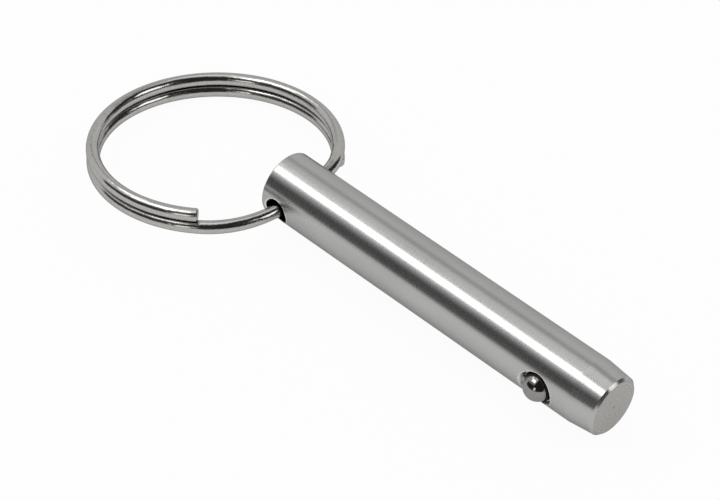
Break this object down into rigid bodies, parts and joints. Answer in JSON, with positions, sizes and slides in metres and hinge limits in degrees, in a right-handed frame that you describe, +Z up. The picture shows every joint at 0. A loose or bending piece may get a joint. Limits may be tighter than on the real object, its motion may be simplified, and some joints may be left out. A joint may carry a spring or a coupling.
{
  "type": "detent pin",
  "caption": "Straight turned steel locking pin with a sprung ball in a staked pocket near its tapered tip and a split ring through the cross hole in its head end.",
  "frame": {"origin": "on the shank's axis, halfway between the ring hole and the ball, in the middle of the plain grip", "axes": "+X along the shank to its tapered tip, +Z up as the pin lies on its side, ball and front mouth of the ring hole towards -Y and slightly down"},
  "size_m": [0.1144, 0.046, 0.0135],
  "materials": {
    "turned_steel": "satin turned stainless steel with fine lines round the bar",
    "ring_wire": "bright drawn and tumbled steel wire",
    "ball_steel": "mirror polished bearing steel",
    "spring_wire": "plain drawn spring wire"
  },
  "bodies": {
    "shank": {"shank": "turned_steel", "detent_spring": "spring_wire"},
    "ring": {"split_ring": "ring_wire"},
    "ball": {"detent_ball": "ball_steel"}
  },
  "joints": [
    {"name": "ring_swing", "type": "hinge", "parent": "shank", "child": "ring", "pos_m": [-0.03, 0, 0], "axis": [0, 0.9914, 0.1305], "range_deg": [-160, 170]},
    {"name": "ball_press", "type": "slide", "parent": "shank", "child": "ball", "axis": [0, 0.9997, 0.0262], "range_m": [0, 0.0017], "stiffness_N_per_m": 1600, "springref_m": -0.0015, "deforming": ["detent_spring"]}
  ]
}
